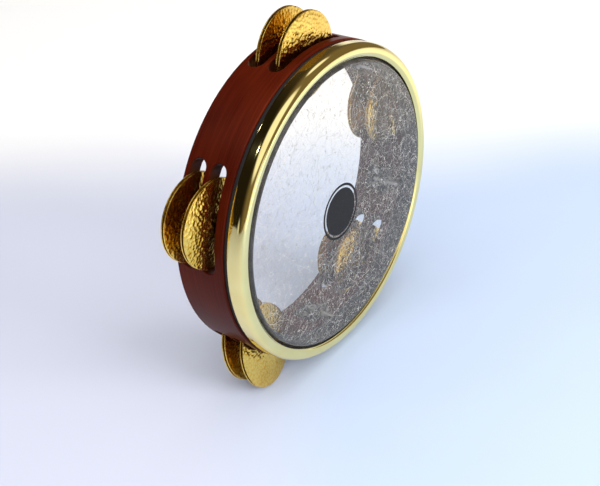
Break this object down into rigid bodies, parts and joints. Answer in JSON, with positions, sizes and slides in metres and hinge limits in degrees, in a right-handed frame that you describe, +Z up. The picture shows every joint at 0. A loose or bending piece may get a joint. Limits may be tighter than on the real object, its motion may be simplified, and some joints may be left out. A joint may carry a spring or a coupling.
{
  "type": "tambourine",
  "caption": "Round frame drum with a wooden shell, brass hoop, film head and paired brass cymbals in slots, standing on edge.",
  "frame": {"origin": "middle of the footprint, on the surface that the drum stands on, under its lower cymbals", "axes": "+Z up towards the top cymbal set, drum axis along Y with the head facing -Y, +X to the right seen from the head"},
  "size_m": [0.2572, 0.0516, 0.2462],
  "materials": {
    "shell_lacquer": "red-brown stain under gloss lacquer",
    "hoop_brass": "mirror polished brass",
    "cymbal_brass": "hand-hammered brass, bright rims",
    "black_anodised": "black anodised, satin",
    "gasket": "matte black",
    "head_film": "translucent film with white fibres, glossy",
    "steel": "bright zinc plated"
  },
  "bodies": {
    "drum": {"shell": "shell_lacquer", "counter_hoop": "hoop_brass", "flesh_hoop": "black_anodised", "hoop_gasket": "gasket", "drumhead": "head_film", "tuning_ring": "black_anodised", "bracket_screws": "steel", "bracket_nuts": "steel", "tuning_bracket_1": "black_anodised", "tuning_bracket_2": "black_anodised", "tuning_bracket_3": "black_anodised", "tuning_bracket_4": "black_anodised", "tuning_bracket_5": "black_anodised", "cymbal_pin_top": "steel", "cymbal_pin_upper_right": "steel", "cymbal_pin_lower_right": "steel", "cymbal_pin_lower_left": "steel", "cymbal_pin_upper_left": "steel"},
    "cymbal_top_1": {"cymbal_top_1": "cymbal_brass"},
    "cymbal_top_2": {"cymbal_top_2": "cymbal_brass"},
    "cymbal_top_3": {"cymbal_top_3": "cymbal_brass"},
    "cymbal_top_4": {"cymbal_top_4": "cymbal_brass"},
    "cymbal_upper_right_1": {"cymbal_upper_right_1": "cymbal_brass"},
    "cymbal_upper_right_2": {"cymbal_upper_right_2": "cymbal_brass"},
    "cymbal_upper_right_3": {"cymbal_upper_right_3": "cymbal_brass"},
    "cymbal_upper_right_4": {"cymbal_upper_right_4": "cymbal_brass"},
    "cymbal_lower_right_1": {"cymbal_lower_right_1": "cymbal_brass"},
    "cymbal_lower_right_2": {"cymbal_lower_right_2": "cymbal_brass"},
    "cymbal_lower_right_3": {"cymbal_lower_right_3": "cymbal_brass"},
    "cymbal_lower_right_4": {"cymbal_lower_right_4": "cymbal_brass"},
    "cymbal_lower_left_1": {"cymbal_lower_left_1": "cymbal_brass"},
    "cymbal_lower_left_2": {"cymbal_lower_left_2": "cymbal_brass"},
    "cymbal_lower_left_3": {"cymbal_lower_left_3": "cymbal_brass"},
    "cymbal_lower_left_4": {"cymbal_lower_left_4": "cymbal_brass"},
    "cymbal_upper_left_1": {"cymbal_upper_left_1": "cymbal_brass"},
    "cymbal_upper_left_2": {"cymbal_upper_left_2": "cymbal_brass"},
    "cymbal_upper_left_3": {"cymbal_upper_left_3": "cymbal_brass"},
    "cymbal_upper_left_4": {"cymbal_upper_left_4": "cymbal_brass"},
    "tuning_screw_1": {"tuning_screw_1": "steel"},
    "tuning_screw_2": {"tuning_screw_2": "steel"},
    "tuning_screw_3": {"tuning_screw_3": "steel"},
    "tuning_screw_4": {"tuning_screw_4": "steel"},
    "tuning_screw_5": {"tuning_screw_5": "steel"}
  },
  "joints": [
    {"name": "cymbal_top_1_slide", "type": "slide", "parent": "drum", "child": "cymbal_top_1", "axis": [0, 1, 0], "range_m": [-0.0019, 0.00045]},
    {"name": "cymbal_top_2_slide", "type": "slide", "parent": "drum", "child": "cymbal_top_2", "axis": [0, 1, 0], "range_m": [-0.00045, 0.0019]},
    {"name": "cymbal_top_3_slide", "type": "slide", "parent": "drum", "child": "cymbal_top_3", "axis": [0, 1, 0], "range_m": [-0.0019, 0.00045]},
    {"name": "cymbal_top_4_slide", "type": "slide", "parent": "drum", "child": "cymbal_top_4", "axis": [0, 1, 0], "range_m": [-0.00045, 0.0019]},
    {"name": "cymbal_upper_right_1_slide", "type": "slide", "parent": "drum", "child": "cymbal_upper_right_1", "axis": [0, 1, 0], "range_m": [-0.0019, 0.00045]},
    {"name": "cymbal_upper_right_2_slide", "type": "slide", "parent": "drum", "child": "cymbal_upper_right_2", "axis": [0, 1, 0], "range_m": [-0.00045, 0.0019]},
    {"name": "cymbal_upper_right_3_slide", "type": "slide", "parent": "drum", "child": "cymbal_upper_right_3", "axis": [0, 1, 0], "range_m": [-0.0019, 0.00045]},
    {"name": "cymbal_upper_right_4_slide", "type": "slide", "parent": "drum", "child": "cymbal_upper_right_4", "axis": [0, 1, 0], "range_m": [-0.00045, 0.0019]},
    {"name": "cymbal_lower_right_1_slide", "type": "slide", "parent": "drum", "child": "cymbal_lower_right_1", "axis": [0, 1, 0], "range_m": [-0.0008, 0.00045]},
    {"name": "cymbal_lower_right_2_slide", "type": "slide", "parent": "drum", "child": "cymbal_lower_right_2", "axis": [0, 1, 0], "range_m": [-0.00045, 0.0008]},
    {"name": "cymbal_lower_right_3_slide", "type": "slide", "parent": "drum", "child": "cymbal_lower_right_3", "axis": [0, 1, 0], "range_m": [-0.0008, 0.00045]},
    {"name": "cymbal_lower_right_4_slide", "type": "slide", "parent": "drum", "child": "cymbal_lower_right_4", "axis": [0, 1, 0], "range_m": [-0.00045, 0.0008]},
    {"name": "cymbal_lower_left_1_slide", "type": "slide", "parent": "drum", "child": "cymbal_lower_left_1", "axis": [0, 1, 0], "range_m": [-0.0008, 0.00045]},
    {"name": "cymbal_lower_left_2_slide", "type": "slide", "parent": "drum", "child": "cymbal_lower_left_2", "axis": [0, 1, 0], "range_m": [-0.00045, 0.0008]},
    {"name": "cymbal_lower_left_3_slide", "type": "slide", "parent": "drum", "child": "cymbal_lower_left_3", "axis": [0, 1, 0], "range_m": [-0.0008, 0.00045]},
    {"name": "cymbal_lower_left_4_slide", "type": "slide", "parent": "drum", "child": "cymbal_lower_left_4", "axis": [0, 1, 0], "range_m": [-0.00045, 0.0008]},
    {"name": "cymbal_upper_left_1_slide", "type": "slide", "parent": "drum", "child": "cymbal_upper_left_1", "axis": [0, 1, 0], "range_m": [-0.0019, 0.00045]},
    {"name": "cymbal_upper_left_2_slide", "type": "slide", "parent": "drum", "child": "cymbal_upper_left_2", "axis": [0, 1, 0], "range_m": [-0.00045, 0.0019]},
    {"name": "cymbal_upper_left_3_slide", "type": "slide", "parent": "drum", "child": "cymbal_upper_left_3", "axis": [0, 1, 0], "range_m": [-0.0019, 0.00045]},
    {"name": "cymbal_upper_left_4_slide", "type": "slide", "parent": "drum", "child": "cymbal_upper_left_4", "axis": [0, 1, 0], "range_m": [-0.00045, 0.0019]},
    {"name": "tuning_screw_1_turn", "type": "hinge", "parent": "drum", "child": "tuning_screw_1", "pos_m": [0.05607, 0, 0.1923], "axis": [0, -1, 0], "continuous": true},
    {"name": "tuning_screw_2_turn", "type": "hinge", "parent": "drum", "child": "tuning_screw_2", "pos_m": [0.09073, 0, 0.08564], "axis": [0, -1, 0], "continuous": true},
    {"name": "tuning_screw_3_turn", "type": "hinge", "parent": "drum", "child": "tuning_screw_3", "pos_m": [0, 0, 0.01972], "axis": [0, -1, 0], "continuous": true},
    {"name": "tuning_screw_4_turn", "type": "hinge", "parent": "drum", "child": "tuning_screw_4", "pos_m": [-0.09073, 0, 0.08564], "axis": [0, -1, 0], "continuous": true},
    {"name": "tuning_screw_5_turn", "type": "hinge", "parent": "drum", "child": "tuning_screw_5", "pos_m": [-0.05607, 0, 0.1923], "axis": [0, -1, 0], "continuous": true}
  ]
}
